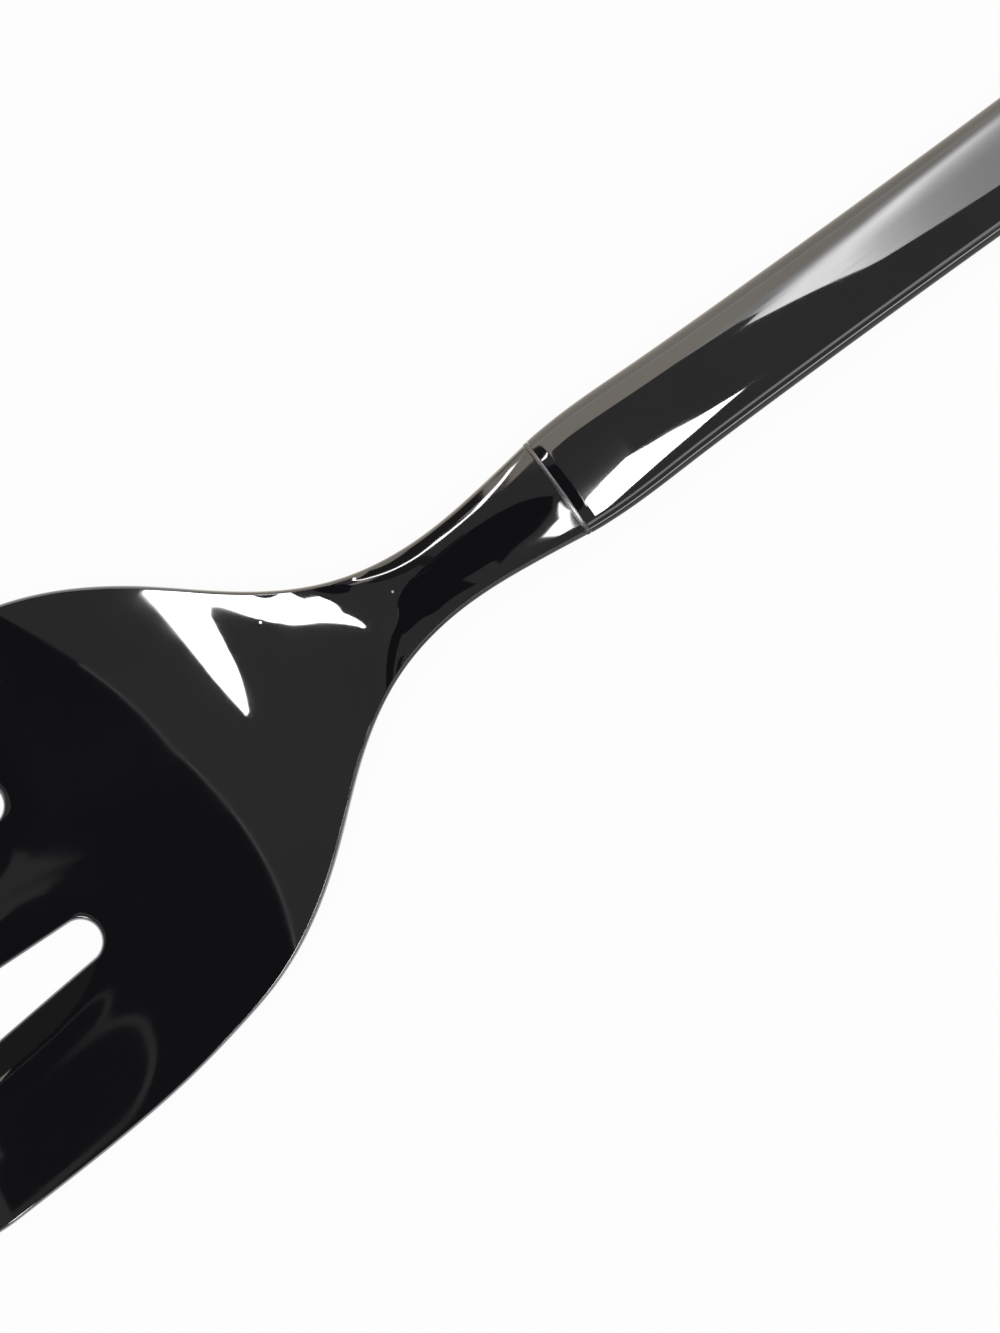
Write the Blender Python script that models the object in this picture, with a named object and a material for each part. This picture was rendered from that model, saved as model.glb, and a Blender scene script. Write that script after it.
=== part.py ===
"""Serving fork with a forged three-tine head and a hollow handle, lying face up.

Metres, +Z up, +X from the tines towards the handle. Lengths along the fork are counted from the
joint between head and handle: "reach" towards the tines, "run" towards the butt of the handle.
"""
import bmesh
import bpy
import numpy as np
from mathutils.geometry import delaunay_2d_cdt

LENGTH = 0.245
HEAD_REACH = 0.105
JOINT_X = HEAD_REACH - LENGTH / 2
GAP = 0.0003

# Head, as (reach, value): half-width, height of the top along the middle, thickness, sideways
# curl (1/m), how far the neck's faces are crowned, and how far the shoulders thin at the edges
HALF_WIDTH = ((0, 0.00562), (0.007, 0.00467), (0.014, 0.00414), (0.020, 0.00464), (0.026, 0.00650),
              (0.033, 0.01085), (0.040, 0.01662), (0.048, 0.02176), (0.053, 0.02375), (0.058, 0.02496),
              (0.065, 0.0262), (0.072, 0.02693), (0.088, 0.0276))
TOP_HEIGHT = ((0, 0.01382), (0.004, 0.013590), (0.008, 0.013302), (0.012, 0.013012),
              (0.018, 0.012392), (0.024, 0.011019), (0.030, 0.008972), (0.036, 0.006811),
              (0.043, 0.004911), (0.052, 0.003403), (0.062, 0.002681), (0.072, 0.002454),
              (0.088, 0.003480), (0.105, 0.006643))
THICKNESS = ((0, 0.0066), (0.008, 0.0056), (0.014, 0.0050), (0.026, 0.0040),
             (0.040, 0.0030), (0.055, 0.0026), (0.080, 0.0026), (0.105, 0.0017))
CURL = ((0, 0), (0.012, 0), (0.018, 0), (0.0215, 5.5), (0.0245, 14.9), (0.0275, 16.7), (0.031, 15.2),
        (0.035, 9.6), (0.040, 7.7), (0.046, 7.1), (0.056, 5.75), (0.070, 5), (0.105, 4.4))
CROWN = ((0, 0.36), (0.006, 0.41), (0.012, 0.43), (0.0165, 0.49), (0.020, 0.36), (0.0235, 0.13),
         (0.027, 0.02), (0.032, 0), (0.105, 0))
EDGE_THIN = ((0, 0), (0.008, 0), (0.013, 0), (0.017, 0.06), (0.0215, 0.24), (0.0245, 0.2),
             (0.028, 0.06), (0.032, 0), (0.038, 0), (0.105, 0))
EDGE_ROUND = 0.0004
NECK_END = 0.00122

# Gaps between the tines: a round root, then straight sides that spread towards the tips
SLOT_ROOT = 0.0645
SLOT_GAUGE = 0.070
SLOT_INNER = 0.00618
SLOT_OUTER = 0.01104
INNER_SLOPE = -0.045
OUTER_SLOPE = 0.085

# Tines: where the sides turn in towards the tips, how blunt the tips are and how far the sides
# lead into them, and how the faces roll off beside the gaps
OUTER_TURN = 0.088
INNER_TURN = 0.096
OUTER_TIP = (0.1035, 0.0178)
OUTER_BLUNT = (0.0048, 0.0024)
OUTER_LEAD = 0.008
OUTER_SWELL = 0.0002
MIDDLE_BLUNT = 0.0030
GAP_LEAD = 0.0045
ROLL = 0.65
ROLL_WIDTH = 0.0062
ROLL_START = 0.0595
ROLL_FULL = 0.0755

# Handle, as (run, value): half-width, half-height, height of the parting line
HANDLE_LENGTH = LENGTH - HEAD_REACH
MOUTH = -0.00018
HANDLE_HALF_WIDTH = ((0, 0.00566), (0.003, 0.00585), (0.006, 0.0059), (0.012, 0.00576),
                     (0.020, 0.00562), (0.028, 0.00556), (0.045, 0.00554), (0.065, 0.0058),
                     (0.095, 0.0068), (0.120, 0.0077), (0.140, 0.0079))
HANDLE_HALF_HEIGHT = ((0, 0.0036), (0.008, 0.0039), (0.025, 0.0041), (0.060, 0.0040),
                      (0.100, 0.0039), (0.140, 0.0038))
HANDLE_HEIGHT = ((0, 0.01062), (0.020, 0.0103), (0.050, 0.0090), (0.085, 0.0064),
                 (0.115, 0.0043), (0.130, 0.00365), (0.140, 0.0036))
NOSE = 0.014
LIP = 0.00015
LIP_LENGTH = 0.0011
LIP_BLEND = 0.15
WALL = 0.0008
ROUNDNESS = 2.3

# Bead ring between neck and handle, and the tang
RING_RUN = -0.0007
RING_HALF = 0.00022
RING_SUNK = 0.0001
RING_ROUND = 0.00003
TANG_ROOT = 0.003
TANG_LENGTH = 0.072
TANG_WIDTH = (0.0052, 0.0036)
TANG_THICKNESS = (0.0034, 0.0024)

# Fineness
HEAD_STEP = 0.0026
HEAD_ROWS = 11
ROW_HEIGHT = 0.75 ** 0.5
EDGE_CLEARANCE = 0.55
SHOULDER_STEPS = 35
FLANK_STEPS = 3
EDGE_STEPS = 3
ROOT_STEPS = 10
TIP_STEPS = 8
JOINT_STEPS = 7
TANG_STEPS = 6
RING_STEPS = 6
LIP_STEPS = 3
BODY_STEPS = 17
NOSE_STEPS = 6
HANDLE_SEGMENTS = 12
MERGE = 1e-7
FLAT = 1e-9


def spline(knots):
    """A natural cubic through the knots, as a function of one coordinate."""
    x, y = np.array(knots, float).T
    gap = np.diff(x)
    system = np.eye(len(x))
    right = np.zeros(len(x))
    for i in range(1, len(x) - 1):
        system[i, i - 1:i + 2] = gap[i - 1], 2 * (gap[i - 1] + gap[i]), gap[i]
        right[i] = 6 * ((y[i + 1] - y[i]) / gap[i] - (y[i] - y[i - 1]) / gap[i - 1])
    bend = np.linalg.solve(system, right)

    def value(at):
        at = np.asarray(at, float)
        i = np.clip(np.searchsorted(x, at) - 1, 0, len(x) - 2)
        past = at - x[i]
        left = x[i + 1] - at
        cubic = (bend[i] * left ** 3 + bend[i + 1] * past ** 3) / (6 * gap[i])
        return (cubic + (y[i] / gap[i] - bend[i] * gap[i] / 6) * left
                + (y[i + 1] / gap[i] - bend[i + 1] * gap[i] / 6) * past)
    return value


half_width = spline(HALF_WIDTH)
top_height = spline(TOP_HEIGHT)
thickness = spline(THICKNESS)
curl = spline(CURL)
crown = spline(CROWN)
edge_thin = spline(EDGE_THIN)
handle_half_width = spline(HANDLE_HALF_WIDTH)
handle_half_height = spline(HANDLE_HALF_HEIGHT)
handle_height = spline(HANDLE_HEIGHT)


def bezier(start, first, second, end, count):
    """Points of one cubic Bezier, without its first point."""
    t = np.linspace(0, 1, count + 1)[1:, None]
    u = 1 - t
    return (u ** 3 * np.array(start) + 3 * u * u * t * np.array(first)
            + 3 * u * t * t * np.array(second) + t ** 3 * np.array(end))


def straight(start, end, step):
    """Points from start to end, without the first."""
    count = max(1, round(float(np.hypot(*(end - start))) / step))
    return start + (end - start) * np.linspace(0, 1, count + 1)[1:, None]


def slot_sides(reach):
    """Inner and outer edge of the gap between two tines, as distances from the middle."""
    past = reach - SLOT_GAUGE
    return SLOT_INNER + INNER_SLOPE * past, SLOT_OUTER + OUTER_SLOPE * past


def slot_root():
    """Round root of a gap: its centre as (reach, y), and its radius."""
    inner, outer = slot_sides(SLOT_ROOT)
    spread = np.hypot(1, OUTER_SLOPE) + np.hypot(1, INNER_SLOPE) - OUTER_SLOPE + INNER_SLOPE
    radius = (outer - inner) / spread
    centre = SLOT_ROOT + radius
    return centre, slot_sides(centre)[0] + radius * np.hypot(1, INNER_SLOPE), radius


def half_outline(step):
    """Edge of the head as (reach, y): from the joint out along one side to the middle tine's tip."""
    reach = np.concatenate([np.linspace(NECK_END, SLOT_ROOT, SHOULDER_STEPS + 1),
                            np.linspace(SLOT_ROOT, OUTER_TURN, FLANK_STEPS + 1)[1:]])
    side = np.stack([reach, half_width(reach)], 1)

    centre, middle, radius = slot_root()
    turn = np.linspace(np.pi / 2 + np.arctan(OUTER_SLOPE), 1.5 * np.pi + np.arctan(INNER_SLOPE),
                       ROOT_STEPS + 1)
    root = np.stack([centre + radius * np.cos(turn), middle + radius * np.sin(turn)], 1)

    inner, outer = slot_sides(INNER_TURN)
    tip_reach, tip_y = OUTER_TIP
    lead = INNER_TURN + GAP_LEAD
    lead_inner, lead_outer = slot_sides(lead)
    outer_front = bezier(side[-1], (OUTER_TURN + OUTER_LEAD, side[-1, 1] + OUTER_SWELL),
                         (tip_reach, tip_y + OUTER_BLUNT[0]), OUTER_TIP, TIP_STEPS)
    outer_back = bezier(OUTER_TIP, (tip_reach, tip_y - OUTER_BLUNT[1]),
                        (lead, lead_outer), (INNER_TURN, outer), TIP_STEPS)
    inner_front = bezier((INNER_TURN, inner), (lead, lead_inner),
                         (HEAD_REACH, MIDDLE_BLUNT), (HEAD_REACH, 0), TIP_STEPS)
    return np.concatenate([side, outer_front, outer_back, straight(outer_back[-1], root[0], step),
                           root[1:], straight(root[-1], np.array((INNER_TURN, inner)), step),
                           inner_front])


def gap_distance(reach, y):
    """Distance to the edge of the nearer gap between tines."""
    centre, middle, radius = slot_root()
    past = reach - centre
    aside = np.abs(y) - middle
    lean = np.arctan(np.where(aside > 0, OUTER_SLOPE, -INNER_SLOPE))
    aside = np.abs(aside)
    along = past * np.cos(lean) + aside * np.sin(lean)
    across = aside * np.cos(lean) - past * np.sin(lean)
    return np.where(along < 0, np.hypot(past, aside), across) - radius


def tine_roll(reach, y):
    """How far the faces have rolled off: 1 at the edge of a gap, 0 away from it and on the head."""
    grown = np.clip((reach - ROLL_START) / (ROLL_FULL - ROLL_START), 0, 1)
    near = np.clip(1 - gap_distance(reach, y) / ROLL_WIDTH, 0, 1)
    return near ** 3 * grown * grown * (3 - 2 * grown)


def head_faces(reach, y):
    """Height of the mid-surface of the head, and half its thickness."""
    share = y / half_width(np.minimum(reach, OUTER_TURN))
    thick = thickness(reach)
    half = thick / 2 * (1 - crown(reach) * share ** 2 - edge_thin(reach) * share ** 4)
    return top_height(reach) - thick / 2 + curl(reach) * y * y, half * (1 - ROLL * tine_roll(reach, y))


def place(reach, y, z):
    """Points of the head in the fork's frame; what would lie below the table is flattened to it."""
    return np.stack([JOINT_X - reach, y, np.maximum(z, 0)], -1)


def within(points, loop):
    """Which points lie inside a closed loop."""
    odd = np.zeros(len(points), bool)
    for (x0, y0), (x1, y1) in zip(loop, np.roll(loop, -1, axis=0)):
        if y0 != y1:
            cross = x0 + (points[:, 1] - y0) * (x1 - x0) / (y1 - y0)
            odd ^= ((y0 > points[:, 1]) != (y1 > points[:, 1])) & (points[:, 0] < cross)
    return odd


def build(name, vertices, faces):
    """A closed, outward-facing object from points and faces."""
    mesh = bpy.data.meshes.new(name)
    mesh.from_pydata(np.asarray(vertices).tolist(), [], [[int(i) for i in face] for face in faces])
    work = bmesh.new()
    work.from_mesh(mesh)
    bmesh.ops.remove_doubles(work, verts=work.verts, dist=MERGE)
    bmesh.ops.recalc_face_normals(work, faces=work.faces)
    work.to_mesh(mesh)
    work.free()
    piece = bpy.data.objects.new(name, mesh)
    bpy.context.scene.collection.objects.link(piece)
    return piece


def strip(a, b, closed=False):
    """Four-sided faces between two rows of points."""
    last = len(a) if closed else len(a) - 1
    return [(a[i], a[(i + 1) % len(a)], b[(i + 1) % len(a)], b[i]) for i in range(last)]


def boolean(piece, operation, other):
    """Join or cut with another object, which stays hidden."""
    step = piece.modifiers.new(operation.title(), "BOOLEAN")
    step.operation = operation
    step.solver = "EXACT"
    step.object = other
    other.hide_render = True
    other.display_type = "WIRE"


def paint(piece, colour, metallic, roughness):
    """Give the piece a material of its own."""
    material = bpy.data.materials.new(piece.name)
    material.use_nodes = True
    shader = material.node_tree.nodes["Principled BSDF"]
    shader.inputs["Base Color"].default_value = (*colour, 1)
    shader.inputs["Metallic"].default_value = metallic
    shader.inputs["Roughness"].default_value = roughness
    piece.data.materials.append(material)


def make_head():
    """Top and bottom sheet with a rounded edge all round, closed flat at the joint."""
    side = half_outline(HEAD_STEP)
    edge = np.concatenate([side, side[-2::-1] * (1, -1)])
    along = np.gradient(edge, axis=0)
    inward = np.stack([along[:, 1], -along[:, 0]], 1) / np.hypot(*along.T)[:, None]
    inward[0] = 0, -1
    inward[-1] = 0, 1

    vertices = []

    def add(points, face, swell=1):
        middle, half = head_faces(*points.T)
        vertices.extend(place(*points.T, middle + face * half * swell))
        return list(range(len(vertices) - len(points), len(vertices)))

    angles = np.linspace(0, np.pi / 2, EDGE_STEPS + 1)
    bands = [edge + inward * EDGE_ROUND * (1 - np.cos(angle)) for angle in angles]
    rim = add(bands[0], 1, 0)
    top = [rim] + [add(band, 1, np.sin(angle)) for band, angle in zip(bands[1:], angles[1:])]
    bottom = [rim] + [add(band, -1, np.sin(angle)) for band, angle in zip(bands[1:], angles[1:])]

    across = np.linspace(bands[-1][-1, 1], bands[-1][0, 1], JOINT_STEPS + 1)[1:-1]
    joint = np.stack([0 * across + NECK_END, across], 1)
    loop = np.concatenate([bands[-1], joint])
    grid = np.stack(np.meshgrid(np.arange(HEAD_STEP / 2, HEAD_REACH, HEAD_STEP * ROW_HEIGHT),
                                np.arange(-HEAD_ROWS, HEAD_ROWS + 1) * HEAD_STEP), -1)
    grid[:, 1::2, 1] += HEAD_STEP / 2
    grid = grid.reshape(-1, 2)
    near = np.min(np.hypot(*(grid[:, None] - loop[None]).transpose(2, 0, 1)), axis=1)
    grid = grid[within(grid, loop) & (near > HEAD_STEP * EDGE_CLEARANCE)]
    ends = [(i, (i + 1) % len(loop)) for i in range(len(loop))]
    sheet = delaunay_2d_cdt(np.concatenate([loop, grid]).tolist(), ends, [], 1, FLAT)[2]

    faces = []
    caps = []
    for face, rings in ((1, top), (-1, bottom)):
        inner = add(joint, face)
        index = rings[-1] + inner + add(grid, face)
        faces.extend([index[i] for i in triangle] for triangle in sheet)
        for a, b in zip(rings, rings[1:]):
            faces.extend(strip(a, b))
        caps.append([ring[-1] for ring in rings] + inner + [ring[0] for ring in rings[::-1]])
    faces.append(caps[0] + caps[1][-2:0:-1])
    head = build("fork_head", vertices, faces)
    boolean(head, "UNION", make_tang("tang", 0))
    paint(head, (0.16, 0.158, 0.155), 1, 0.06)


def make_tang(name, clear):
    """The tapered bar from the neck into the handle, or the space that it needs."""
    run = np.linspace(-TANG_ROOT, TANG_LENGTH + clear, TANG_STEPS + 1)
    share = np.clip(run / TANG_LENGTH, 0, 1)
    wide = np.interp(share, (0, 1), TANG_WIDTH) / 2 + clear
    thick = np.interp(share, (0, 1), TANG_THICKNESS) / 2 + clear
    height = handle_height(np.maximum(run, 0))
    corners = ((-1, -1), (1, -1), (1, 1), (-1, 1))
    vertices = [(JOINT_X + r, y * w, h + z * t) for r, w, t, h in zip(run, wide, thick, height)
                for y, z in corners]
    rows = np.arange(len(vertices)).reshape(-1, 4)
    faces = [rows[0], rows[-1]]
    for a, b in zip(rows, rows[1:]):
        faces.extend(strip(a, b, closed=True))
    return build(name, vertices, faces)


def oval(angle, wide, high):
    """Points of a rounded-oval section as (y, height)."""
    power = 2 / ROUNDNESS
    c = np.cos(angle)
    s = np.sin(angle)
    return wide * np.sign(c) * np.abs(c) ** power, high * np.sign(s) * np.abs(s) ** power


def handle_runs(inset):
    """Stations along the handle: close at the mouth, even along it and around the butt."""
    nose = HANDLE_LENGTH - inset - NOSE
    lip = MOUTH + LIP_LENGTH * np.linspace(0, 1, LIP_STEPS + 1)
    body = np.linspace(MOUTH + LIP_LENGTH, nose, BODY_STEPS + 1)[1:]
    butt = nose + NOSE * np.sin(np.linspace(0, np.pi / 2, NOSE_STEPS + 1))[1:]
    return np.concatenate([lip, body, butt])


def handle_wall(inset, angle, lift):
    """Rows of points along a wall of the handle, drawn in at the mouth and closed at the butt."""
    rows = []
    for run in handle_runs(inset):
        nose = np.clip((run + inset + NOSE - HANDLE_LENGTH) / NOSE, 0, 1)
        close = np.sqrt(1 - nose ** 2)
        lip = np.clip(1 - (run - MOUTH) / LIP_LENGTH, 0, 1)
        drawn = inset if inset else LIP * lip ** 2 / (lip + LIP_BLEND)
        aside = inset if inset else drawn / 4
        y, up = oval(angle, (handle_half_width(run) - aside) * close,
                     (handle_half_height(run) - drawn) * close)
        z = np.maximum(handle_height(run) + up + lift, 0)
        rows.append(np.stack([np.full(len(angle), JOINT_X + run), y, z], 1))
    return np.array(rows)


def make_shell(name, side):
    """One half of the handle: outer and inner wall, joined along the parting line and the mouth."""
    angle = side * np.linspace(0, np.pi, HANDLE_SEGMENTS + 1)
    walls = [handle_wall(inset, angle, side * GAP / 2) for inset in (0, WALL)]
    index = np.arange(walls[0].size * 2 // 3).reshape(2, *walls[0].shape[:2])
    faces = []
    for wall in index:
        for a, b in zip(wall, wall[1:]):
            faces.extend(strip(a, b))
    faces.extend(strip(index[0, :, 0], index[1, :, 0]))
    faces.extend(strip(index[0, :, -1], index[1, :, -1]))
    faces.extend(strip(index[0, 0], index[1, 0]))
    shell = build(name, np.concatenate([wall.reshape(-1, 3) for wall in walls]), faces)
    paint(shell, (0.17, 0.168, 0.165), 1, 0.06)


def make_filler(tang_space):
    """The set filler in the hollow of the handle, with the tang's place left free."""
    angle = np.linspace(0, 2 * np.pi, 2 * HANDLE_SEGMENTS, endpoint=False)
    rows = handle_wall(WALL + GAP, angle, 0)
    rows[0, :, 0] += GAP
    index = np.arange(rows.size // 3).reshape(rows.shape[:2])
    faces = [index[0]]
    for a, b in zip(index, index[1:]):
        faces.extend(strip(a, b, closed=True))
    filler = build("handle_filler", rows.reshape(-1, 3), faces)
    boolean(filler, "DIFFERENCE", tang_space)
    paint(filler, (0.32, 0.29, 0.25), 0, 0.8)


def make_ring(tang_space):
    """The bead between neck and handle: an oval plate with a softly rounded edge, pierced for the tang."""
    angle = np.linspace(0, 2 * np.pi, 4 * HANDLE_SEGMENTS, endpoint=False)
    rows = []
    for turn in np.linspace(0, np.pi, RING_STEPS + 1):
        run = RING_RUN - RING_HALF * np.cos(turn)
        drawn = RING_SUNK + RING_ROUND * (1 - np.sin(turn))
        y, up = oval(angle, handle_half_width(0) - drawn, handle_half_height(0) - drawn)
        rows.append(np.stack([np.full(len(angle), JOINT_X + run), y, handle_height(run) + up], 1))
    index = np.arange(len(rows) * len(angle)).reshape(len(rows), -1)
    faces = [index[0], index[-1]]
    for a, b in zip(index, index[1:]):
        faces.extend(strip(a, b, closed=True))
    ring = build("bolster_ring", np.concatenate(rows), faces)
    boolean(ring, "DIFFERENCE", tang_space)
    paint(ring, (0.19, 0.187, 0.183), 1, 0.06)


for old in list(bpy.data.objects):
    bpy.data.objects.remove(old)
make_head()
make_shell("handle_upper_shell", 1)
make_shell("handle_lower_shell", -1)
space = make_tang("tang_space", GAP)
make_filler(space)
make_ring(space)
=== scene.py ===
"""A serving fork in mirror-polished steel with a dark base colour, on a white table, seen straight from
above.

The pieces are finer copies of the CAD solids, made from the same formulas. Metres, +Z up, +X from
the tines towards the handle. Lengths along the fork are counted from the joint between head and
handle: "reach" towards the tines, "run" towards the butt of the handle.
"""

import bmesh
import bpy
import numpy as np
from mathutils.geometry import delaunay_2d_cdt
from mathutils.kdtree import KDTree
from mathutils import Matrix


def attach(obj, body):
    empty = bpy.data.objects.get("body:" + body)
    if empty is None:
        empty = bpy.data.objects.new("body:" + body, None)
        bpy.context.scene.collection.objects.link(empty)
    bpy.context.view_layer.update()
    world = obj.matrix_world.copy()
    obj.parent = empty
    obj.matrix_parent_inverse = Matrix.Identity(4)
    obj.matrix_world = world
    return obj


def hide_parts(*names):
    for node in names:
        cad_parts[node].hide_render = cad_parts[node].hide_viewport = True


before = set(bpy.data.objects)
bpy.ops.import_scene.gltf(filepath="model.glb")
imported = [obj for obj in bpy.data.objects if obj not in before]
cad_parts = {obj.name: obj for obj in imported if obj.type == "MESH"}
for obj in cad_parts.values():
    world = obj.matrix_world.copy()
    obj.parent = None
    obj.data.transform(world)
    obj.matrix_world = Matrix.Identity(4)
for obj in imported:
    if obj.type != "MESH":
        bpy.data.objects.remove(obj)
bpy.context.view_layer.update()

LENGTH = 0.245
HEAD_REACH = 0.105
JOINT_X = HEAD_REACH - LENGTH / 2

# Head, as (reach, value): half-width, height of the top along the middle, thickness, sideways
# curl (1/m), how far the neck's faces are crowned, and how far the shoulders thin at the edges
HALF_WIDTH = ((0, 0.00562), (0.007, 0.00467), (0.014, 0.00414), (0.020, 0.00464), (0.026, 0.00650),
              (0.033, 0.01085), (0.040, 0.01662), (0.048, 0.02176), (0.053, 0.02375), (0.058, 0.02496),
              (0.065, 0.0262), (0.072, 0.02693), (0.088, 0.0276))
TOP_HEIGHT = ((0, 0.01382), (0.004, 0.013590), (0.008, 0.013302), (0.012, 0.013012),
              (0.018, 0.012392), (0.024, 0.011019), (0.030, 0.008972), (0.036, 0.006811),
              (0.043, 0.004911), (0.052, 0.003403), (0.062, 0.002681), (0.072, 0.002454),
              (0.088, 0.003480), (0.105, 0.006643))
THICKNESS = ((0, 0.0066), (0.008, 0.0056), (0.014, 0.0050), (0.026, 0.0040),
             (0.040, 0.0030), (0.055, 0.0026), (0.080, 0.0026), (0.105, 0.0017))
CURL = ((0, 0), (0.012, 0), (0.018, 0), (0.0215, 5.5), (0.0245, 14.9), (0.0275, 16.7), (0.031, 15.2),
        (0.035, 9.6), (0.040, 7.7), (0.046, 7.1), (0.056, 5.75), (0.070, 5), (0.105, 4.4))
CROWN = ((0, 0.36), (0.006, 0.41), (0.012, 0.43), (0.0165, 0.49), (0.020, 0.36), (0.0235, 0.13),
         (0.027, 0.02), (0.032, 0), (0.105, 0))
EDGE_THIN = ((0, 0), (0.008, 0), (0.013, 0), (0.017, 0.06), (0.0215, 0.24), (0.0245, 0.2),
             (0.028, 0.06), (0.032, 0), (0.038, 0), (0.105, 0))
EDGE_ROUND = 0.0004
NECK_END = 0.00097

# Gaps between the tines: a round root, then straight sides that spread towards the tips
SLOT_ROOT = 0.0645
SLOT_GAUGE = 0.070
SLOT_INNER = 0.00618
SLOT_OUTER = 0.01104
INNER_SLOPE = -0.045
OUTER_SLOPE = 0.085

# Tines: where the sides turn in towards the tips, how blunt the tips are and how far the sides
# lead into them, and how the faces roll off beside the gaps
OUTER_TURN = 0.088
INNER_TURN = 0.096
OUTER_TIP = (0.1035, 0.0178)
OUTER_BLUNT = (0.0048, 0.0024)
OUTER_LEAD = 0.008
OUTER_SWELL = 0.0002
MIDDLE_BLUNT = 0.0030
MIDDLE_GAP_LEAD = 0.005
OUTER_GAP_LEAD = 0.004
ROLL = 0.65
ROLL_WIDTH = 0.0062
ROLL_START = 0.0595
ROLL_FULL = 0.0755

# Handle, as (run, value): half-width, half-height, height of the parting line
HANDLE_LENGTH = LENGTH - HEAD_REACH
MOUTH = -0.00043
HANDLE_HALF_WIDTH = ((0, 0.00566), (0.003, 0.00585), (0.006, 0.0059), (0.012, 0.00576),
                     (0.020, 0.00562), (0.028, 0.00556), (0.045, 0.00554), (0.065, 0.0058),
                     (0.095, 0.0068), (0.120, 0.0077), (0.140, 0.0079))
HANDLE_HALF_HEIGHT = ((0, 0.0036), (0.008, 0.0039), (0.025, 0.0041), (0.060, 0.0040),
                      (0.100, 0.0039), (0.140, 0.0038))
HANDLE_HEIGHT = ((0, 0.01062), (0.020, 0.0103), (0.050, 0.0090), (0.085, 0.0064),
                 (0.115, 0.0043), (0.130, 0.00365), (0.140, 0.0036))
NOSE = 0.014
LIP = 0.00015
LIP_LENGTH = 0.0011
LIP_BLEND = 0.15
LIP_SIDE = 0.25
WALL = 0.0008
ROUNDNESS = 2.3

# Bead ring, tang, and the fine lines left at the polished joints
RING_RUN = -0.0007
RING_HALF = 0.00022
RING_SUNK = 0.0001
RING_ROUND = 0.00003
TANG_ROOT = 0.003
TANG_LENGTH = 0.072
TANG_WIDTH = (0.0052, 0.0036)
TANG_THICKNESS = (0.0034, 0.0024)
SEAM = 0.00004

# Fineness of the meshes, and settings of the mesh tools
HEAD_STEP = 0.0005
SIDE_STEP = 0.0004
ROW_HEIGHT = 0.866
EDGE_CLEARANCE = 0.55
EDGE_STEPS = 10
ROOT_POINTS = 33
OUTER_TIP_STEPS = 48
INNER_TIP_STEPS = 32
JOINT_POINTS = 16
TANG_STATIONS = 13
RING_ROWS = 17
LIP_STATIONS = 24
BODY_STATIONS = 248
NOSE_STATIONS = 50
HANDLE_SEGMENTS = 72
RING_SEGMENTS = 4 * HANDLE_SEGMENTS
PANEL_EDGE_STEP = 0.02
PANEL_STEP = 0.03
ARC_POINTS = 10
NORMAL_STEP = 0.00001
MERGE = 1e-7
FLAT = 1e-9
SHARP_ANGLE = 40
KEEP_INSIDE = 1

# Photograph's frame: its scale at the fork, its turn, and the point under its middle
FRAME_HEIGHT = 0.1333
FRAME_TURN = 36.02
CAMERA_DISTANCE = 0.5
CENTRE = np.array((JOINT_X - 0.01578, -0.01101, 0.010))

# Materials: the steel's dark base colours, how far its tone wanders, and how dull the bead is
HEAD_STEEL = (0.16, 0.159, 0.16)
BEAD_STEEL = (0.19, 0.189, 0.19)
HANDLE_STEEL = (0.17, 0.169, 0.17)
TONE = 0.06
BEAD_DULL = 0.25
DUST = (0.62, 0.6, 0.58, 1)
DARK_SAND = (0.26, 0.235, 0.2, 1)
PALE_SAND = (0.38, 0.345, 0.3, 1)

# Table and backdrop: flat rings, then a rounded rise
FLOOR_RADII = (0.4, 1.2, 2.4)
FLOOR_DROP = 0.00005
FLOOR_SEGMENTS = 96
RISE_RADIUS = 3.0
RISE_ROUND = 0.5
RISE_ROWS = 12
TABLE_PAINT = 0.9
TABLE_LIGHT = 0.95

# Light: the dim room and the lamp over the table
ROOM = (0.138, 0.137, 0.142, 1)
LAMP_SIZE = 1.4
LAMP_POWER = 22
LAMP_HEIGHT = 1.6

# Studio cards: their shades, and those on the table, which start, are full, fade and end at four runs
WHITE = (1, 1, 1)
COOL = (0.93, 0.97, 1.2)
WARM = (1, 0.925, 0.815)
BLACK = 0.035
DARK = 0.06
GREY = 0.14
SOFTBOX = 12
CARD_RUNS = (-0.034, -0.026, 0.055, 0.110)
CARD_HEIGHT = 0.0003
CARD_FAR = 0.5
LINE_NEAR = 0.027
LINE_FAR = 0.034

# Places on the neck, as (reach, distance towards -Y), where its polish passes from one near card to
# the next: the long sides of the dark lens, its far end, the limit of the pale side, the bright spot
LENS_UPPER = ((0.0110, -0.0017), (0.0079, -0.00155), (0.0060, -0.0013), (0.0042, -0.0009),
              (0.0027, -0.0003), (0.0015, 0.0004))
LENS_LOWER = ((0.0020, 0.0009), (0.0024, 0.0014), (0.0033, 0.0018), (0.0043, 0.0021),
              (0.0072, 0.0023), (0.0100, 0.0029))
LENS_END = ((0.0160, -0.0015), (0.0170, -0.0013), (0.0180, -0.0012), (0.0190, -0.0009),
            (0.0200, -0.0004), (0.0207, 0.0003), (0.0213, 0.0010))
PALE_LIMIT = ((0.0007, -0.0023), (0.0016, -0.0033), (0.0027, -0.0033), (0.0048, -0.0030),
              (0.0065, -0.0034))
BRIGHT_SPOT = ((0.0012, 0.0012), (0.0008, 0.0026), (0.0014, 0.0042), (0.0031, 0.0040),
               (0.0046, 0.0031), (0.0033, 0.0028), (0.0022, 0.0026))
NECK_DISTANCE = 0.09


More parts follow.
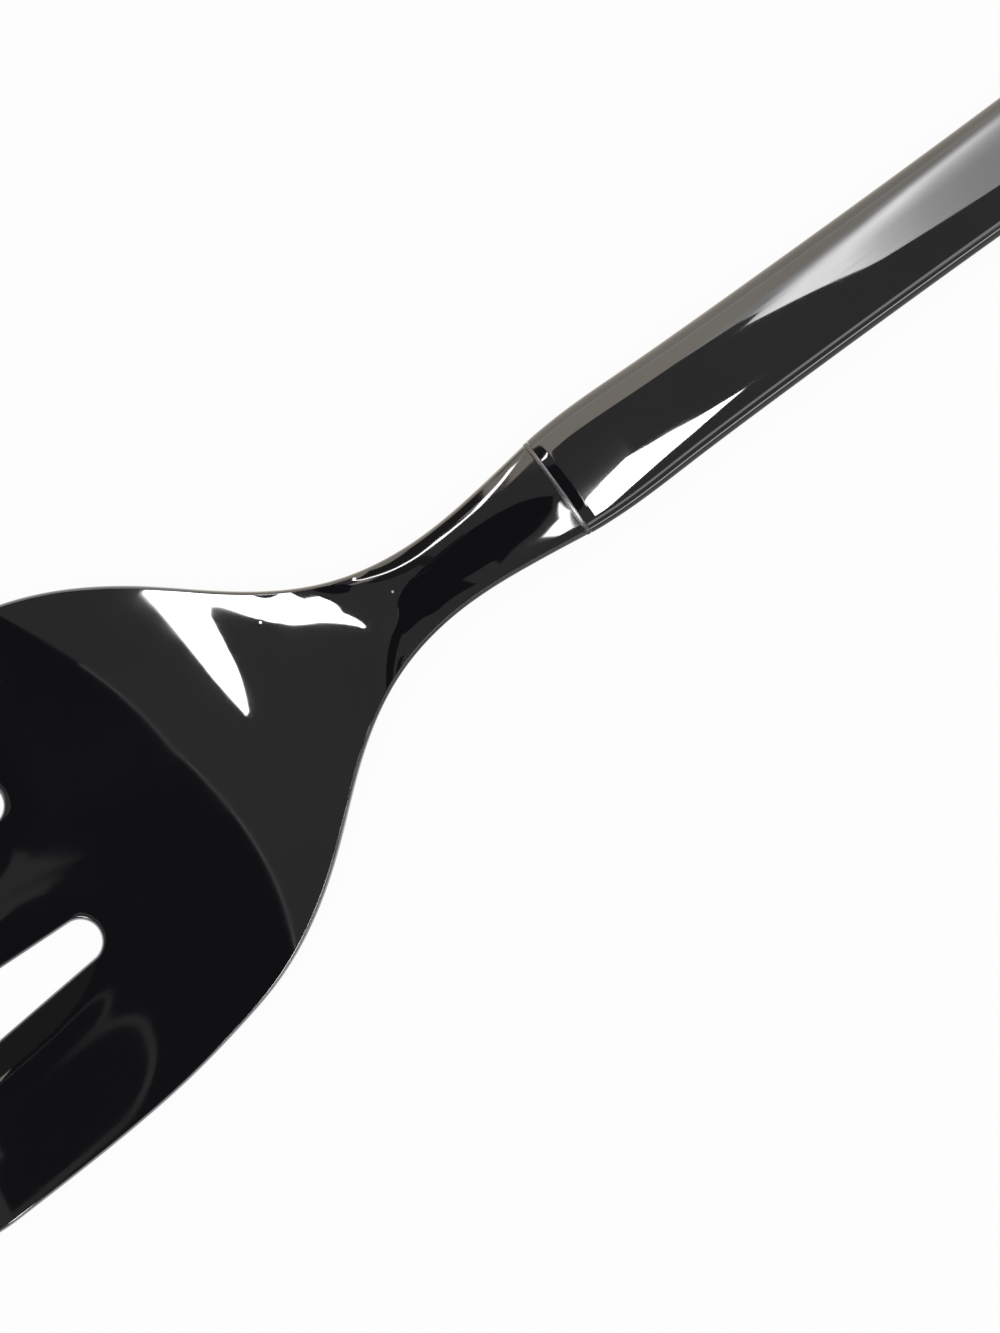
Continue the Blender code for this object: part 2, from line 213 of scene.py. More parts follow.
def spline(knots):
    """A natural cubic through the knots, as a function of one coordinate."""
    x, y = np.array(knots, float).T
    gap = np.diff(x)
    system = np.eye(len(x))
    right = np.zeros(len(x))
    for i in range(1, len(x) - 1):
        system[i, i - 1:i + 2] = gap[i - 1], 2 * (gap[i - 1] + gap[i]), gap[i]
        right[i] = 6 * ((y[i + 1] - y[i]) / gap[i] - (y[i] - y[i - 1]) / gap[i - 1])
    bend = np.linalg.solve(system, right)

    def value(at):
        at = np.asarray(at, float)
        i = np.clip(np.searchsorted(x, at) - 1, 0, len(x) - 2)
        past = at - x[i]
        left = x[i + 1] - at
        cubic = (bend[i] * left ** 3 + bend[i + 1] * past ** 3) / (6 * gap[i])
        return (cubic + (y[i] / gap[i] - bend[i] * gap[i] / 6) * left
                + (y[i + 1] / gap[i] - bend[i + 1] * gap[i] / 6) * past)
    return value


half_width = spline(HALF_WIDTH)
top_height = spline(TOP_HEIGHT)
thickness = spline(THICKNESS)
curl = spline(CURL)
crown = spline(CROWN)
edge_thin = spline(EDGE_THIN)
handle_half_width = spline(HANDLE_HALF_WIDTH)
handle_half_height = spline(HANDLE_HALF_HEIGHT)
handle_height = spline(HANDLE_HEIGHT)


def bezier(start, first, second, end, count):
    """Points of one cubic Bezier, without its first point."""
    t = np.linspace(0, 1, count + 1)[1:, None]
    u = 1 - t
    return (u ** 3 * np.array(start) + 3 * u * u * t * np.array(first)
            + 3 * u * t * t * np.array(second) + t ** 3 * np.array(end))


def straight(start, end, step):
    """Points from start to end, without the first."""
    count = max(1, round(float(np.hypot(*(end - start))) / step))
    return start + (end - start) * np.linspace(0, 1, count + 1)[1:, None]


def slot_sides(reach):
    """Inner and outer edge of the gap between two tines, as distances from the middle."""
    past = reach - SLOT_GAUGE
    return SLOT_INNER + INNER_SLOPE * past, SLOT_OUTER + OUTER_SLOPE * past


def slot_root():
    """Round root of a gap: its centre as (reach, y), and its radius."""
    inner, outer = slot_sides(SLOT_ROOT)
    spread = np.hypot(1, OUTER_SLOPE) + np.hypot(1, INNER_SLOPE) - OUTER_SLOPE + INNER_SLOPE
    radius = (outer - inner) / spread
    centre = SLOT_ROOT + radius
    return centre, slot_sides(centre)[0] + radius * np.hypot(1, INNER_SLOPE), radius


def half_outline():
    """Edge of the head as (reach, y): from the joint out along one side to the middle tine's tip."""
    reach = np.linspace(NECK_END, OUTER_TURN, round(OUTER_TURN / SIDE_STEP) + 1)
    side = np.stack([reach, half_width(reach)], 1)

    centre, middle, radius = slot_root()
    turn = np.linspace(np.pi / 2 + np.arctan(OUTER_SLOPE), 1.5 * np.pi + np.arctan(INNER_SLOPE),
                       ROOT_POINTS)
    root = np.stack([centre + radius * np.cos(turn), middle + radius * np.sin(turn)], 1)

    inner, outer = slot_sides(INNER_TURN)
    tip_reach, tip_y = OUTER_TIP
    outer_front = bezier(side[-1], (OUTER_TURN + OUTER_LEAD, side[-1, 1] + OUTER_SWELL),
                         (tip_reach, tip_y + OUTER_BLUNT[0]), OUTER_TIP, OUTER_TIP_STEPS)
    outer_back = bezier(OUTER_TIP, (tip_reach, tip_y - OUTER_BLUNT[1]),
                        (INNER_TURN + OUTER_GAP_LEAD, outer + OUTER_GAP_LEAD * OUTER_SLOPE),
                        (INNER_TURN, outer), INNER_TIP_STEPS)
    inner_front = bezier((INNER_TURN, inner),
                         (INNER_TURN + MIDDLE_GAP_LEAD, inner + MIDDLE_GAP_LEAD * INNER_SLOPE),
                         (HEAD_REACH, MIDDLE_BLUNT), (HEAD_REACH, 0), INNER_TIP_STEPS)
    return np.concatenate([side, outer_front, outer_back,
                           straight(outer_back[-1], root[0], HEAD_STEP), root[1:],
                           straight(root[-1], np.array((INNER_TURN, inner)), HEAD_STEP), inner_front])


def gap_distance(reach, y):
    """Distance to the edge of the nearer gap between tines."""
    centre, middle, radius = slot_root()
    past = reach - centre
    aside = np.abs(y) - middle
    lean = np.arctan(np.where(aside > 0, OUTER_SLOPE, -INNER_SLOPE))
    aside = np.abs(aside)
    along = past * np.cos(lean) + aside * np.sin(lean)
    across = aside * np.cos(lean) - past * np.sin(lean)
    return np.where(along < 0, np.hypot(past, aside), across) - radius


def tine_roll(reach, y):
    """How far the faces have rolled off: 1 at the edge of a gap, 0 away from it and on the head."""
    grown = np.clip((reach - ROLL_START) / (ROLL_FULL - ROLL_START), 0, 1)
    near = np.clip(1 - gap_distance(reach, y) / ROLL_WIDTH, 0, 1)
    return near ** 3 * grown * grown * (3 - 2 * grown)


def head_faces(reach, y):
    """Height of the mid-surface of the head, and half its thickness."""
    share = y / half_width(np.minimum(reach, OUTER_TURN))
    thick = thickness(reach)
    half = thick / 2 * (1 - crown(reach) * share ** 2 - edge_thin(reach) * share ** 4)
    return top_height(reach) - thick / 2 + curl(reach) * y * y, half * (1 - ROLL * tine_roll(reach, y))


def place(reach, y, z):
    """Points of the head in the fork's frame; what would lie below the table is flattened to it."""
    return np.stack([JOINT_X - reach, y, np.maximum(z, 0)], -1)


def head_normals(reach, y, face):
    """Outward directions of the top (face 1) or bottom (face -1) of the head."""
    step = NORMAL_STEP

    def height(at_reach, at_y):
        middle, half = head_faces(at_reach, at_y)
        return np.maximum(middle + face * half, 0)

    along = (height(reach + step, y) - height(reach - step, y)) / (2 * step)
    aside = (height(reach, y + step) - height(reach, y - step)) / (2 * step)
    outward = face * np.stack([along, -aside, np.ones(len(reach))], 1)
    return outward / np.linalg.norm(outward, axis=1)[:, None]


def within(points, loop):
    """Which points lie inside a closed loop."""
    odd = np.zeros(len(points), bool)
    for (x0, y0), (x1, y1) in zip(loop, np.roll(loop, -1, axis=0)):
        if y0 != y1:
            cross = x0 + (points[:, 1] - y0) * (x1 - x0) / (y1 - y0)
            odd ^= ((y0 > points[:, 1]) != (y1 > points[:, 1])) & (points[:, 0] < cross)
    return odd


def clear_of(points, loop, distance):
    """Which points are at least a distance away from every point of the loop."""
    tree = KDTree(len(loop))
    for i, point in enumerate(loop):
        tree.insert((*point, 0), i)
    tree.balance()
    return np.array([tree.find((*point, 0))[2] > distance for point in points])


def filled(loop, step):
    """An even spread of points inside a loop, and the triangles between the loop's points and these."""
    low = loop.min(axis=0)
    high = loop.max(axis=0)
    grid = np.stack(np.meshgrid(np.arange(low[0] + step / 2, high[0], step * ROW_HEIGHT),
                                np.arange(low[1], high[1], step)), -1)
    grid[:, 1::2, 1] += step / 2
    grid = grid.reshape(-1, 2)
    grid = grid[within(grid, loop)]
    grid = grid[clear_of(grid, loop, step * EDGE_CLEARANCE)]
    ends = [(i, (i + 1) % len(loop)) for i in range(len(loop))]
    points = np.concatenate([loop, grid]).tolist()
    return grid, delaunay_2d_cdt(points, ends, [], KEEP_INSIDE, FLAT)[2]


def mesh_object(name, vertices, faces, normals=None):
    """An object with smooth faces and crisp corners; normals of zero length are worked out."""
    mesh = bpy.data.meshes.new(name)
    mesh.from_pydata(np.asarray(vertices).tolist(), [], [[int(i) for i in face] for face in faces])
    work = bmesh.new()
    work.from_mesh(mesh)
    bmesh.ops.remove_doubles(work, verts=work.verts, dist=MERGE)
    bmesh.ops.recalc_face_normals(work, faces=work.faces)
    work.to_mesh(mesh)
    work.free()
    mesh.shade_smooth()
    mesh.set_sharp_from_angle(angle=np.radians(SHARP_ANGLE))
    if normals is not None:
        mesh.normals_split_custom_set_from_vertices(np.asarray(normals).tolist())
    piece = bpy.data.objects.new(name, mesh)
    bpy.context.scene.collection.objects.link(piece)
    return piece


def strip(a, b, closed=False):
    """Four-sided faces between two rows of points."""
    last = len(a) if closed else len(a) - 1
    return [(a[i], a[(i + 1) % len(a)], b[(i + 1) % len(a)], b[i]) for i in range(last)]


def tang(first):
    """Points and faces of the tapered bar from the neck into the handle; first is its first index."""
    run = np.linspace(-TANG_ROOT, TANG_LENGTH, TANG_STATIONS)
    share = np.clip(run / TANG_LENGTH, 0, 1)
    wide = np.interp(share, (0, 1), TANG_WIDTH) / 2
    thick = np.interp(share, (0, 1), TANG_THICKNESS) / 2
    height = handle_height(np.maximum(run, 0))
    corners = ((-1, -1), (1, -1), (1, 1), (-1, 1))
    vertices = [(JOINT_X + r, y * w, h + z * t) for r, w, t, h in zip(run, wide, thick, height)
                for y, z in corners]
    rows = first + np.arange(len(vertices)).reshape(-1, len(corners))
    faces = [rows[0], rows[-1]]
    for a, b in zip(rows, rows[1:]):
        faces.extend(strip(a, b, closed=True))
    return vertices, faces


def make_head():
    """Head, neck and tang: top and bottom sheet with a rounded edge all round, flat at the joint."""
    side = half_outline()
    edge = np.concatenate([side, side[-2::-1] * (1, -1)])
    along = np.gradient(edge, axis=0)
    inward = np.stack([along[:, 1], -along[:, 0]], 1) / np.hypot(*along.T)[:, None]
    inward[0] = 0, -1
    inward[-1] = 0, 1

    vertices = []
    normals = []

    def add(points, face, swell=1):
        middle, half = head_faces(*points.T)
        vertices.extend(place(*points.T, middle + face * half * swell))
        normals.extend(head_normals(*points.T, face) if swell == 1 else np.zeros((len(points), 3)))
        return list(range(len(vertices) - len(points), len(vertices)))

    angles = np.linspace(0, np.pi / 2, EDGE_STEPS + 1)
    bands = [edge + inward * EDGE_ROUND * (1 - np.cos(angle)) for angle in angles]
    rim = add(bands[0], 1, 0)
    top = [rim] + [add(row, 1, np.sin(angle)) for row, angle in zip(bands[1:], angles[1:])]
    bottom = [rim] + [add(row, -1, np.sin(angle)) for row, angle in zip(bands[1:], angles[1:])]

    across = np.linspace(bands[-1][-1, 1], bands[-1][0, 1], JOINT_POINTS)[1:-1]
    joint = np.stack([np.full_like(across, NECK_END), across], 1)
    grid, sheet = filled(np.concatenate([bands[-1], joint]), HEAD_STEP)

    faces = []
    caps = []
    for face, rings in ((1, top), (-1, bottom)):
        inner = add(joint, face)
        index = rings[-1] + inner + add(grid, face)
        faces.extend([index[i] for i in triangle] for triangle in sheet)
        for a, b in zip(rings, rings[1:]):
            faces.extend(strip(a, b))
        caps.append([ring[-1] for ring in rings] + inner + [ring[0] for ring in rings[::-1]])
    faces.append(caps[0] + caps[1][-2:0:-1])
    tang_vertices, tang_faces = tang(len(vertices))
    normals.extend(np.zeros((len(tang_vertices), 3)))
    return mesh_object("polished_head", vertices + tang_vertices, faces + tang_faces, normals)


def oval(angle, wide, high):
    """Points of a rounded-oval section as (y, height)."""
    power = 2 / ROUNDNESS
    c = np.cos(angle)
    s = np.sin(angle)
    return wide * np.sign(c) * np.abs(c) ** power, high * np.sign(s) * np.abs(s) ** power


def handle_runs(inset):
    """Stations along the handle: close at the mouth, even along it and around the butt."""
    nose = HANDLE_LENGTH - inset - NOSE
    lip = MOUTH + LIP_LENGTH * np.linspace(0, 1, LIP_STATIONS)
    body = np.linspace(MOUTH + LIP_LENGTH, nose, BODY_STATIONS)[1:]
    butt = nose + NOSE * np.sin(np.linspace(0, np.pi / 2, NOSE_STATIONS))[1:]
    return np.concatenate([lip, body, butt])


def handle_wall(inset, angle, lift):
    """Rows of points along a wall of the handle, drawn in at the mouth and closed at the butt."""
    rows = []
    for run in handle_runs(inset):
        nose = np.clip((run + inset + NOSE - HANDLE_LENGTH) / NOSE, 0, 1)
        close = np.sqrt(1 - nose ** 2)
        lip = np.clip(1 - (run - MOUTH) / LIP_LENGTH, 0, 1)
        drawn = inset if inset else LIP * lip ** 2 / (lip + LIP_BLEND)
        aside = inset if inset else drawn * LIP_SIDE
        y, up = oval(angle, (handle_half_width(run) - aside) * close,
                     (handle_half_height(run) - drawn) * close)
        z = np.maximum(handle_height(run) + up + lift, 0)
        rows.append(np.stack([np.full(len(angle), JOINT_X + run), y, z], 1))
    return np.array(rows)


def make_shell(name, side):
    """One half of the handle: outer and inner wall, joined along the parting line and the mouth."""
    angle = side * np.linspace(0, np.pi, HANDLE_SEGMENTS + 1)
    walls = [handle_wall(inset, angle, side * SEAM / 2) for inset in (0, WALL)]
    rows = len(walls[0])
    index = np.arange(len(walls) * rows * len(angle)).reshape(len(walls), rows, -1)
    faces = []
    for wall in index:
        for a, b in zip(wall, wall[1:]):
            faces.extend(strip(a, b))
    faces.extend(strip(index[0, :, 0], index[1, :, 0]))
    faces.extend(strip(index[0, :, -1], index[1, :, -1]))
    faces.extend(strip(index[0, 0], index[1, 0]))
    return mesh_object(name, np.concatenate([wall.reshape(-1, 3) for wall in walls]), faces)


def make_ring():
    """The bead between neck and handle: an oval plate with a softly rounded edge."""
    angle = np.linspace(0, 2 * np.pi, RING_SEGMENTS, endpoint=False)
    rows = []
    for turn in np.linspace(0, np.pi, RING_ROWS):
        run = RING_RUN - RING_HALF * np.cos(turn)
        drawn = RING_SUNK + RING_ROUND * (1 - np.sin(turn))
        y, up = oval(angle, handle_half_width(0) - drawn, handle_half_height(0) - drawn)
        rows.append(np.stack([np.full(len(angle), JOINT_X + run), y, handle_height(run) + up], 1))
    index = np.arange(len(rows) * len(angle)).reshape(len(rows), -1)
    faces = [index[0], index[-1]]
    for a, b in zip(index, index[1:]):
        faces.extend(strip(a, b, closed=True))
    return mesh_object("polished_bead", np.concatenate(rows), faces)


class Nodes:
    """Short ways to make the nodes of one material or world."""

    # Sockets of a Mix node that mixes colours: share, first and second colour, and the result
    mix_inputs = 0, 6, 7
    mix_output = 2

    def __init__(self, owner):
        owner.use_nodes = True
        self.tree = owner.node_tree

    def make(self, kind, settings=None, **inputs):
        """A node; inputs are values or other nodes' outputs, named with _ for spaces."""
        node = self.tree.nodes.new(kind)
        for key, value in (settings or {}).items():
            setattr(node, key, value)
        for key, value in inputs.items():
            self.feed(node.inputs[key.replace("_", " ")], value)
        return node

    def feed(self, socket, value):
        """Give a socket a value or another node's output."""
        if isinstance(value, bpy.types.NodeSocket):
            self.tree.links.new(value, socket)
        else:
            socket.default_value = value

    def math(self, operation, first, second):
        """One operation on two values."""
        node = self.make("ShaderNodeMath", {"operation": operation})
        self.feed(node.inputs[0], first)
        self.feed(node.inputs[1], second)
        return node.outputs[0]

    def between(self, value, low, high, to_low, to_high):
        """A value taken from one range to another, held at the ends."""
        node = self.make("ShaderNodeMapRange", Value=value, From_Min=low, From_Max=high,
                         To_Min=to_low, To_Max=to_high)
        return node.outputs["Result"]

    def mix(self, share, first, second):
        """A colour between two colours."""
        node = self.make("ShaderNodeMix", {"data_type": "RGBA"})
        for i, value in zip(self.mix_inputs, (share, first, second)):
            self.feed(node.inputs[i], value)
        return node.outputs[self.mix_output]


def steel(name, colour, dull=0):
    """Mirror-polished steel with a dark base colour: faint tone, wiped smears, fine polishing lines and
    a little dust.
    """
    material = bpy.data.materials.new(name)
    nodes = Nodes(material)
    shader = nodes.tree.nodes["Principled BSDF"]
    where = nodes.make("ShaderNodeTexCoord").outputs["Object"]

    # Tone
    tone = nodes.make("ShaderNodeTexNoise", Vector=where, Scale=45, Detail=2).outputs["Fac"]
    dark = (*[(1 - TONE) * c for c in colour], 1)
    light = (*[(1 + TONE) * c for c in colour], 1)
    metal = nodes.mix(nodes.between(tone, 0.3, 0.7, 0, 1), dark, light)

    # Wiped smears, as roughness
    smear = nodes.make("ShaderNodeTexNoise", Vector=where, Scale=110, Detail=4, Roughness=0.6)
    polish = nodes.between(smear.outputs["Fac"], 0.35, 0.75, 0.025 + dull, 0.06 + dull)

    # Dust: a small dot in a few of the cells
    cells = nodes.make("ShaderNodeTexVoronoi", Vector=where, Scale=240)
    small = nodes.between(cells.outputs["Distance"], 0.02, 0.05, 1, 0)
    few = nodes.make("ShaderNodeSeparateColor", Color=cells.outputs["Color"]).outputs["Red"]
    dust = nodes.math("MULTIPLY", small, nodes.between(few, 0.975, 0.98, 0, 1))

    # Polishing lines along the fork
    drawn = nodes.make("ShaderNodeMapping", Vector=where, Scale=(60, 1800, 1800)).outputs["Vector"]
    lines = nodes.make("ShaderNodeTexNoise", Vector=drawn, Scale=1, Detail=3).outputs["Fac"]
    bump = nodes.make("ShaderNodeBump", Height=lines, Strength=0.02, Distance=0.00002)

    rough = nodes.math("MAXIMUM", polish, nodes.between(dust, 0, 1, 0, 0.6))
    nodes.feed(shader.inputs["Base Color"], nodes.mix(dust, metal, DUST))
    nodes.feed(shader.inputs["Roughness"], rough)
    nodes.feed(shader.inputs["Normal"], bump.outputs["Normal"])
    nodes.feed(shader.inputs["Metallic"], 1)
    return material


def set_filler(name):
    """Set mineral filler: matt, sandy and slightly pitted."""
    material = bpy.data.materials.new(name)
    nodes = Nodes(material)
    shader = nodes.tree.nodes["Principled BSDF"]
    where = nodes.make("ShaderNodeTexCoord").outputs["Object"]
    sand = nodes.make("ShaderNodeTexNoise", Vector=where, Scale=1400, Detail=4).outputs["Fac"]
    colour = nodes.mix(nodes.between(sand, 0.3, 0.7, 0, 1), DARK_SAND, PALE_SAND)
    pits = nodes.make("ShaderNodeBump", Height=sand, Strength=0.4, Distance=0.0002)
    nodes.feed(shader.inputs["Base Color"], colour)
    nodes.feed(shader.inputs["Normal"], pits.outputs["Normal"])
    nodes.feed(shader.inputs["Roughness"], 0.85)
    return material


def dress(piece, node, material):
    """A piece that stands for a CAD node, with its finish."""
    piece.data.materials.append(material)
    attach(piece, "root")
    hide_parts(node)


def glow(name, colour):
    """Material of a panel that shines as strongly as its points say."""
    material = bpy.data.materials.new(name)
    nodes = Nodes(material)
    nodes.tree.nodes.clear()
    light = nodes.make("ShaderNodeAttribute", {"attribute_name": "light"}).outputs["Fac"]
    shine = nodes.make("ShaderNodeEmission", Color=(*colour, 1), Strength=light)
    nodes.make("ShaderNodeOutputMaterial", Surface=shine.outputs[0])
    return material


def mirrored(name, vertices, faces, strength, colour):
    """A card that is seen only in the fork's polish; strength is its light at each point."""
    mesh = bpy.data.meshes.new(name)
    mesh.from_pydata(vertices.tolist(), [], faces)
    mesh.attributes.new("light", "FLOAT", "POINT").data.foreach_set("value", strength)
    mesh.materials.append(glow(name, colour))
    card = bpy.data.objects.new(name, mesh)
    card.visible_camera = False
    card.visible_diffuse = False
    card.visible_shadow = False
    card.visible_transmission = False
    bpy.context.scene.collection.objects.link(card)


def table_card(name, near, far, light, colour=WHITE):
    """A card on the table along neck and handle, from y near to y far, that fades at both ends."""
    count = len(CARD_RUNS)
    vertices = np.array([(JOINT_X + run, y, CARD_HEIGHT) for y in (near, far) for run in CARD_RUNS])
    strength = [TABLE_LIGHT, light, light, TABLE_LIGHT] * 2
    mirrored(name, vertices, strip(range(count), range(count, 2 * count)), strength, colour)


def panel(name, corners, distance, light, colour=WHITE):
    """A studio panel or card: part of a dome around the fork, seen only in its polish.

    Corners are directions from the middle of the frame, as (towards the handle, towards -Y).
    """
    corners = np.array(corners, float)
    sides = zip(corners, np.roll(corners, -1, axis=0))
    loop = np.concatenate([straight(a, b, PANEL_EDGE_STEP) for a, b in sides])
    grid, triangles = filled(loop, PANEL_STEP)
    points = np.concatenate([loop, grid])
    up = np.sqrt(np.maximum(0, 1 - (points ** 2).sum(axis=1)))
    vertices = CENTRE + distance * np.stack([points[:, 0], -points[:, 1], up], 1)
    strength = light(*points.T) if callable(light) else np.full(len(points), float(light))
    mirrored(name, vertices, triangles, strength, colour)


def make_floor():
    """A white table that curves up into a white backdrop far behind."""
    turn = np.linspace(0, 2 * np.pi, FLOOR_SEGMENTS, endpoint=False)
    rise = np.linspace(0, np.pi / 2, RISE_ROWS)
    profile = [(radius, 0) for radius in FLOOR_RADII]
    profile += [(RISE_RADIUS + RISE_ROUND * np.sin(a), RISE_ROUND * (1 - np.cos(a))) for a in rise]
    rows = [np.stack([r * np.cos(turn), r * np.sin(turn), np.full(len(turn), z - FLOOR_DROP)], 1)
            for r, z in profile]
    index = np.arange(len(rows) * len(turn)).reshape(len(rows), -1)
    faces = [index[0]]
    for a, b in zip(index, index[1:]):
        faces.extend(strip(a, b, closed=True))
    floor = mesh_object("floor", np.concatenate(rows), faces)
    material = bpy.data.materials.new("white_table")
    nodes = Nodes(material)
    nodes.tree.nodes.clear()
    path = nodes.make("ShaderNodeLightPath")
    seen = path.outputs["Is Camera Ray"]
    for ray in ("Is Glossy Ray", "Is Transmission Ray"):
        seen = nodes.math("MAXIMUM", seen, path.outputs[ray])
    white = nodes.make("ShaderNodeEmission", Color=(*WHITE, 1), Strength=1)
    paint = nodes.make("ShaderNodeBsdfDiffuse", Color=(TABLE_PAINT, TABLE_PAINT, TABLE_PAINT, 1))
    blend = nodes.make("ShaderNodeMixShader", Fac=nodes.between(seen, 0, 1, 0, TABLE_LIGHT))
    nodes.feed(blend.inputs[1], paint.outputs[0])
    nodes.feed(blend.inputs[2], white.outputs[0])
    nodes.make("ShaderNodeOutputMaterial", Surface=blend.outputs[0])
    floor.data.materials.append(material)


def make_light():
    """A dim room, and one large soft lamp overhead that lights the table but isn't mirrored."""
    world = bpy.data.worlds.new("room")
    bpy.context.scene.world = world
    Nodes(world).tree.nodes["Background"].inputs["Color"].default_value = ROOM
    data = bpy.data.lights.new("overhead", "AREA")
    data.size = LAMP_SIZE
    data.energy = LAMP_POWER
    lamp = bpy.data.objects.new("overhead", data)
    lamp.location = CENTRE + (0, 0, LAMP_HEIGHT)
    lamp.visible_glossy = False
    lamp.visible_camera = False
    bpy.context.scene.collection.objects.link(lamp)


def handle_light(x, v):
    """Strength of the large panel at the handle's end: a bright streak that softens to its far edge."""
    # Where the soft edge lies and how wide it is, then where the streak starts to fade
    middle = np.interp(x, (0.175, 0.205, 0.235, 0.263, 0.297), (-0.45, -0.63, -0.73, -0.86, -0.885))
    width = np.interp(x, (0.205, 0.263), (0.36, 0.2))
    fade_start = np.interp(v, (-0.9, -0.3), (0.28, 0.23))
    rise = np.clip((v - middle) / width + 0.5, 0, 1)
    fade = np.exp(-np.maximum(0, x - fade_start) / 0.035)
    return 0.95 + 3.2 * fade * rise * rise * (3 - 2 * rise)


def halo_light(x, v):
    """Strength of the haze beside the handle's softbox."""
    return 0.14 + 0.7 * np.exp(-np.maximum(0, 0.36 - v - 2.5 * np.maximum(0, x)) / 0.09)


def band(path, wide):
    """Corners of a narrow strip along a path of directions."""
    path = np.array(path, float)
    along = np.gradient(path, axis=0)
    aside = np.stack([-along[:, 1], along[:, 0]], 1) / np.hypot(*along.T)[:, None] * wide / 2
    return np.concatenate([path + aside, (path - aside)[::-1]])


def arc(x, v, radius, start, end):
    """Directions along part of a circle, from one angle to another in degrees."""
    angles = np.radians(np.linspace(start, end, ARC_POINTS))
    return [(x + radius * np.cos(a), v + radius * np.sin(a)) for a in angles]


def mirror_directions(places):
    """Directions, as for a panel's corners, of what the camera sees mirrored at places on the neck."""
    reach, aside = np.array(places).T
    middle, half = head_faces(reach, -aside)
    points = place(reach, -aside, middle + half) - CENTRE
    facing = head_normals(reach, -aside, 1)
    look = points - (0, 0, CAMERA_DISTANCE)
    look /= np.linalg.norm(look, axis=1)[:, None]
    ray = look - 2 * (look * facing).sum(axis=1)[:, None] * facing

    # From each place along its ray to the dome of the near cards
    along = (points * ray).sum(axis=1)
    far = np.sqrt(along ** 2 - (points ** 2).sum(axis=1) + NECK_DISTANCE ** 2) - along
    met = (points + far[:, None] * ray) / NECK_DISTANCE
    return [(x, -y) for x, y in met[:, :2]]


def light_head():
    """A black card over the head, its pale rim, and faint cards that outline the tines."""
    side = [(-0.45, 0.9), (-0.436, 0.25), (-0.433, 0), (-0.468, -0.25), (-0.502, -0.5), (-0.53, -0.66)]
    rest = [(-0.27, -0.66), (-0.26, -0.47), (-0.15, -0.47), (-0.12, -0.43), (-0.03, -0.43),
            (-0.03, 0.43), (-0.1, 0.5), (-0.125, 0.58), (-0.18, 0.66)]
    panel("black_card", side + rest, distance=0.60, light=BLACK, colour=COOL)
    panel("card_rim", band(side[1:5], 0.003), distance=0.595, light=0.4)
    outline = [(0.05, -0.416), *arc(-0.205, -0.361, 0.055, -90, -180),
               *arc(-0.215, -0.345, 0.045, 180, 90), (0.0, -0.29)]
    panel("card_edge", band(outline, 0.008), distance=0.59, light=0.13)
    panel("tine_card", [(-0.256, -0.072), (-0.247, -0.056), (-0.235, -0.05), (-0.2, -0.045),
                        (0.0, -0.045), (0.0, 0.03), (-0.207, 0.016), (-0.225, -0.018),
                        (-0.246, -0.028)], distance=0.59, light=0.13)
    panel("tine_shade", [(-0.5, -0.85), (-0.3, -0.94), (-0.17, -0.97), (-0.17, -0.45),
                         (-0.5, -0.45)], distance=0.3, light=DARK)


def light_handle():
    """A warm wall beside the handle, a large panel at its end, and a softbox with a haze around it."""
    panel("side_wall", [(-0.155, -0.987), (-0.155, -0.7), (-0.138, -0.66), (-0.13, -0.58),
                        (-0.115, -0.57), (-0.105, -0.54), (-0.08, -0.4), (-0.06, -0.45),
                        (-0.03, -0.66), (0, -0.7), (0.113, -0.68), (0.45, -0.68), (0.9, -0.42),
                        (0.8, -0.59), (0.7, -0.71), (0.6, -0.796), (0.5, -0.862), (0.4, -0.913),
                        (0.3, -0.95), (0.2, -0.976), (0.1, -0.991), (0, -0.996)],
          distance=1.2, light=0.92, colour=WARM)
    panel("handle_panel", [(0.113, -0.68), (0.16, -0.60), (0.175, -0.50), (0.165, -0.42),
                           (0.221, -0.094), (0.252, 0.052), (0.314, 0.212), (0.40, 0.40),
                           (0.9, 0.4), (0.9, -0.42), (0.7, -0.7), (0.45, -0.885), (0.31, -0.945),
                           (0.27, -0.955), (0.235, -0.92), (0.2, -0.82), (0.16, -0.72)],
          distance=1.19, light=handle_light)
    panel("handle_softbox", [(0.045, 0.21), (0.10, 0.35), (0.13, 0.48), (0.172, 0.62), (0.125, 0.75),
                             (0.07, 0.84), (0.0, 0.95), (-0.05, 0.95), (-0.05, 0.5), (0.0, 0.42),
                             (0.02, 0.3)], distance=0.58, light=SOFTBOX)
    panel("handle_halo", [(0.05, -0.35), (0.05, 0.3), (-0.01, 0.5), (-0.06, 0.5), (-0.06, -0.35)],
          distance=0.59, light=halo_light)


